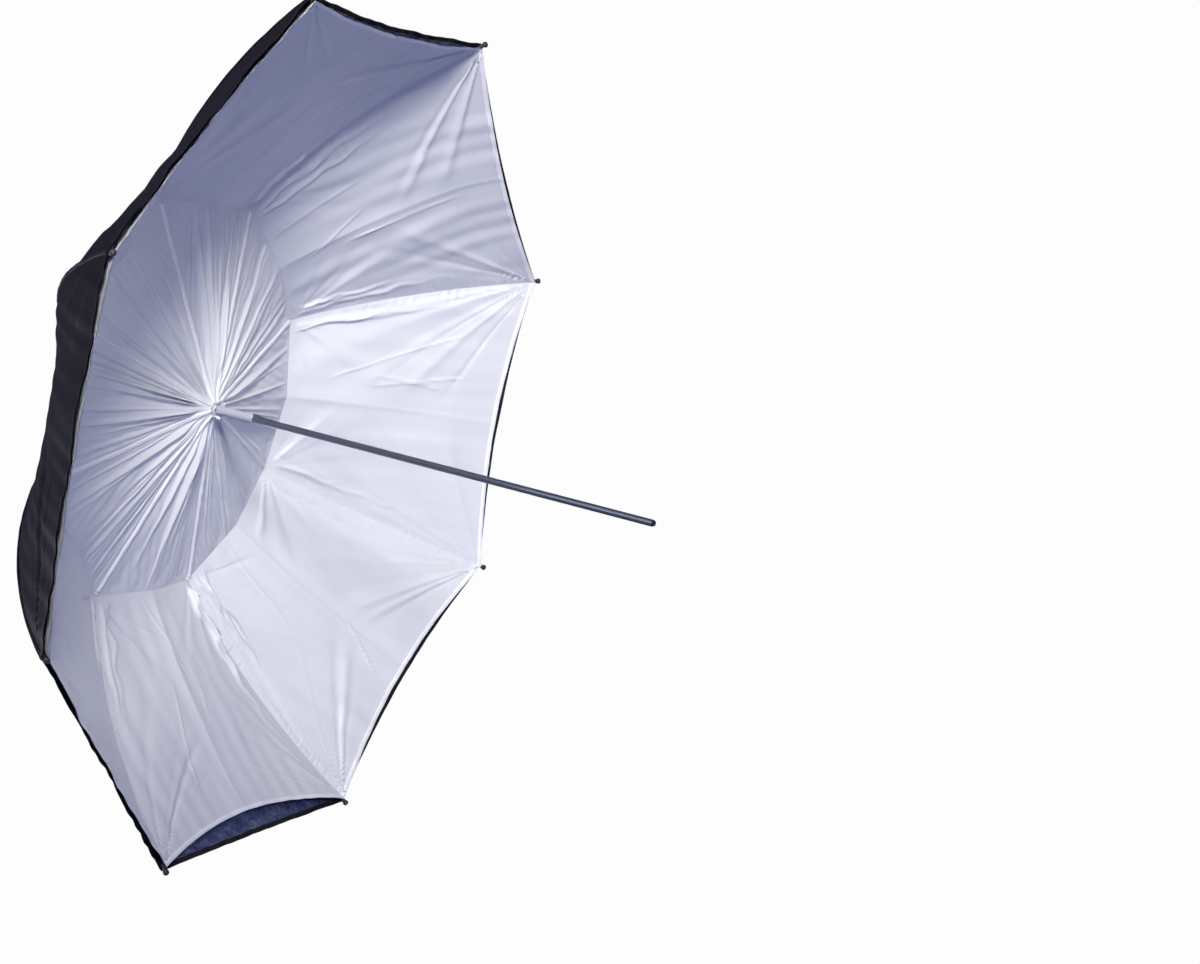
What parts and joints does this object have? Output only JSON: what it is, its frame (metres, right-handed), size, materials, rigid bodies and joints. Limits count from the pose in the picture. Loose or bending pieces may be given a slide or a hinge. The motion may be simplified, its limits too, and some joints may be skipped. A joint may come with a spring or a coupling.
{
  "type": "photographic umbrella reflector",
  "caption": "Folding photographic umbrella reflector: curved ribs on a slim shaft, white translucent canopy inside and a removable black reflective cover outside.",
  "frame": {"origin": "point on the shaft's axis where a stand bracket's umbrella holder clamps it", "axes": "+Z along the shaft towards the crown, +X towards rib 1"},
  "size_m": [1.049, 1.049, 0.708],
  "materials": {
    "shaft_tube": "dark chromed steel tube",
    "frame_steel": "black lacquered sheet steel channels",
    "spring_steel": "bright spring steel",
    "tip_metal": "moulded dark plastic tip",
    "white_plastic": "moulded white plastic",
    "black_plastic": "moulded black plastic",
    "black_cover": "black coated polyester with a silver lining",
    "white_canopy": "white translucent satin"
  },
  "bodies": {
    "root": {"shaft": "shaft_tube", "end_plug": "black_plastic", "crown": "black_plastic", "crown_wire": "spring_steel", "crown_cap": "black_plastic", "cover_patch": "black_cover"},
    "runner": {"runner": "white_plastic", "runner_wire": "spring_steel", "hub_collar": "white_plastic"},
    "catch": {"catch_spring": "spring_steel"},
    "rib_1": {"rib_1": "frame_steel", "rib_tip_1": "tip_metal", "cover_panel_1": "black_cover", "canopy_panel_1": "white_canopy"},
    "stretcher_1": {"stretcher_1": "frame_steel", "canopy_cone_1": "white_canopy"},
    "rib_2": {"rib_2": "frame_steel", "rib_tip_2": "tip_metal", "cover_panel_2": "black_cover", "canopy_panel_2": "white_canopy"},
    "stretcher_2": {"stretcher_2": "frame_steel", "canopy_cone_2": "white_canopy"},
    "rib_3": {"rib_3": "frame_steel", "rib_tip_3": "tip_metal", "cover_panel_3": "black_cover", "canopy_panel_3": "white_canopy"},
    "stretcher_3": {"stretcher_3": "frame_steel", "canopy_cone_3": "white_canopy"},
    "rib_4": {"rib_4": "frame_steel", "rib_tip_4": "tip_metal", "cover_panel_4": "black_cover", "canopy_panel_4": "white_canopy"},
    "stretcher_4": {"stretcher_4": "frame_steel", "canopy_cone_4": "white_canopy"},
    "rib_5": {"rib_5": "frame_steel", "rib_tip_5": "tip_metal", "cover_panel_5": "black_cover", "canopy_panel_5": "white_canopy"},
    "stretcher_5": {"stretcher_5": "frame_steel", "canopy_cone_5": "white_canopy"},
    "rib_6": {"rib_6": "frame_steel", "rib_tip_6": "tip_metal", "cover_panel_6": "black_cover", "canopy_panel_6": "white_canopy"},
    "stretcher_6": {"stretcher_6": "frame_steel", "canopy_cone_6": "white_canopy"},
    "rib_7": {"rib_7": "frame_steel", "rib_tip_7": "tip_metal", "cover_panel_7": "black_cover", "canopy_panel_7": "white_canopy"},
    "stretcher_7": {"stretcher_7": "frame_steel", "canopy_cone_7": "white_canopy"},
    "rib_8": {"rib_8": "frame_steel", "rib_tip_8": "tip_metal", "cover_panel_8": "black_cover", "canopy_panel_8": "white_canopy"},
    "stretcher_8": {"stretcher_8": "frame_steel", "canopy_cone_8": "white_canopy"}
  },
  "joints": [
    {"name": "rib_1_fold", "type": "hinge", "parent": "root", "child": "rib_1", "pos_m": [0.011, 0, 0.359], "axis": [0, 1, 0], "range_deg": [0, 60.26], "deforming": ["cover_panel_1", "canopy_panel_1", "catch_spring"]},
    {"name": "rib_2_fold", "type": "hinge", "parent": "root", "child": "rib_2", "pos_m": [0.00778, 0.00778, 0.359], "axis": [-0.7071, 0.7071, 0], "range_deg": [-0.5, 60.76], "deforming": ["cover_panel_2", "canopy_panel_2"]},
    {"name": "rib_3_fold", "type": "hinge", "parent": "root", "child": "rib_3", "pos_m": [0, 0.011, 0.359], "axis": [-1, 0, 0], "range_deg": [-0.5, 60.76], "deforming": ["cover_panel_3", "canopy_panel_3"]},
    {"name": "rib_4_fold", "type": "hinge", "parent": "root", "child": "rib_4", "pos_m": [-0.00778, 0.00778, 0.359], "axis": [-0.7071, -0.7071, 0], "range_deg": [-0.5, 60.76], "deforming": ["cover_panel_4", "canopy_panel_4"]},
    {"name": "rib_5_fold", "type": "hinge", "parent": "root", "child": "rib_5", "pos_m": [-0.011, 0, 0.359], "axis": [0, -1, 0], "range_deg": [-0.5, 60.76], "deforming": ["cover_panel_5", "canopy_panel_5"]},
    {"name": "rib_6_fold", "type": "hinge", "parent": "root", "child": "rib_6", "pos_m": [-0.00778, -0.00778, 0.359], "axis": [0.7071, -0.7071, 0], "range_deg": [-0.5, 60.76], "deforming": ["cover_panel_6", "canopy_panel_6"]},
    {"name": "rib_7_fold", "type": "hinge", "parent": "root", "child": "rib_7", "pos_m": [0, -0.011, 0.359], "axis": [1, 0, 0], "range_deg": [-0.5, 60.76], "deforming": ["cover_panel_7", "canopy_panel_7"]},
    {"name": "rib_8_fold", "type": "hinge", "parent": "root", "child": "rib_8", "pos_m": [0.00778, -0.00778, 0.359], "axis": [0.7071, 0.7071, 0], "range_deg": [-0.5, 60.76], "deforming": ["cover_panel_8", "canopy_panel_8"]},
    {"name": "stretcher_1_fold", "type": "hinge", "parent": "rib_1", "child": "stretcher_1", "pos_m": [0.255, 0, 0.307], "axis": [0, 1, 0], "range_deg": [-121.52, 1], "deforming": ["canopy_cone_1"]},
    {"name": "stretcher_2_fold", "type": "hinge", "parent": "rib_2", "child": "stretcher_2", "pos_m": [0.18031, 0.18031, 0.307], "axis": [-0.7071, 0.7071, 0], "range_deg": [-121.52, 1], "deforming": ["canopy_cone_2"]},
    {"name": "stretcher_3_fold", "type": "hinge", "parent": "rib_3", "child": "stretcher_3", "pos_m": [0, 0.255, 0.307], "axis": [-1, 0, 0], "range_deg": [-121.52, 1], "deforming": ["canopy_cone_3"]},
    {"name": "stretcher_4_fold", "type": "hinge", "parent": "rib_4", "child": "stretcher_4", "pos_m": [-0.18031, 0.18031, 0.307], "axis": [-0.7071, -0.7071, 0], "range_deg": [-121.52, 1], "deforming": ["canopy_cone_4"]},
    {"name": "stretcher_5_fold", "type": "hinge", "parent": "rib_5", "child": "stretcher_5", "pos_m": [-0.255, 0, 0.307], "axis": [0, -1, 0], "range_deg": [-121.52, 1], "deforming": ["canopy_cone_5"]},
    {"name": "stretcher_6_fold", "type": "hinge", "parent": "rib_6", "child": "stretcher_6", "pos_m": [-0.18031, -0.18031, 0.307], "axis": [0.7071, -0.7071, 0], "range_deg": [-121.52, 1], "deforming": ["canopy_cone_6"]},
    {"name": "stretcher_7_fold", "type": "hinge", "parent": "rib_7", "child": "stretcher_7", "pos_m": [0, -0.255, 0.307], "axis": [1, 0, 0], "range_deg": [-121.52, 1], "deforming": ["canopy_cone_7"]},
    {"name": "stretcher_8_fold", "type": "hinge", "parent": "rib_8", "child": "stretcher_8", "pos_m": [0.18031, -0.18031, 0.307], "axis": [0.7071, 0.7071, 0], "range_deg": [-121.52, 1], "deforming": ["canopy_cone_8"]},
    {"name": "runner_turn", "type": "hinge", "parent": "stretcher_1", "child": "runner", "pos_m": [0.011, 0, 0.255], "axis": [0, 1, 0], "range_deg": [-1, 61.26]},
    {"name": "catch_press", "type": "slide", "parent": "root", "child": "catch", "axis": [-1, 0, 0], "range_m": [0, 0.0024], "stiffness_N_per_m": 900}
  ],
  "couplings": [
    {"joint": "rib_2_fold", "follows": "rib_1_fold", "ratio": 1},
    {"joint": "rib_3_fold", "follows": "rib_1_fold", "ratio": 1},
    {"joint": "rib_4_fold", "follows": "rib_1_fold", "ratio": 1},
    {"joint": "rib_5_fold", "follows": "rib_1_fold", "ratio": 1},
    {"joint": "rib_6_fold", "follows": "rib_1_fold", "ratio": 1},
    {"joint": "rib_7_fold", "follows": "rib_1_fold", "ratio": 1},
    {"joint": "rib_8_fold", "follows": "rib_1_fold", "ratio": 1},
    {"joint": "stretcher_1_fold", "follows": "rib_1_fold", "ratio": -2},
    {"joint": "stretcher_2_fold", "follows": "rib_1_fold", "ratio": -2},
    {"joint": "stretcher_3_fold", "follows": "rib_1_fold", "ratio": -2},
    {"joint": "stretcher_4_fold", "follows": "rib_1_fold", "ratio": -2},
    {"joint": "stretcher_5_fold", "follows": "rib_1_fold", "ratio": -2},
    {"joint": "stretcher_6_fold", "follows": "rib_1_fold", "ratio": -2},
    {"joint": "stretcher_7_fold", "follows": "rib_1_fold", "ratio": -2},
    {"joint": "stretcher_8_fold", "follows": "rib_1_fold", "ratio": -2},
    {"joint": "runner_turn", "follows": "rib_1_fold", "ratio": 1}
  ]
}
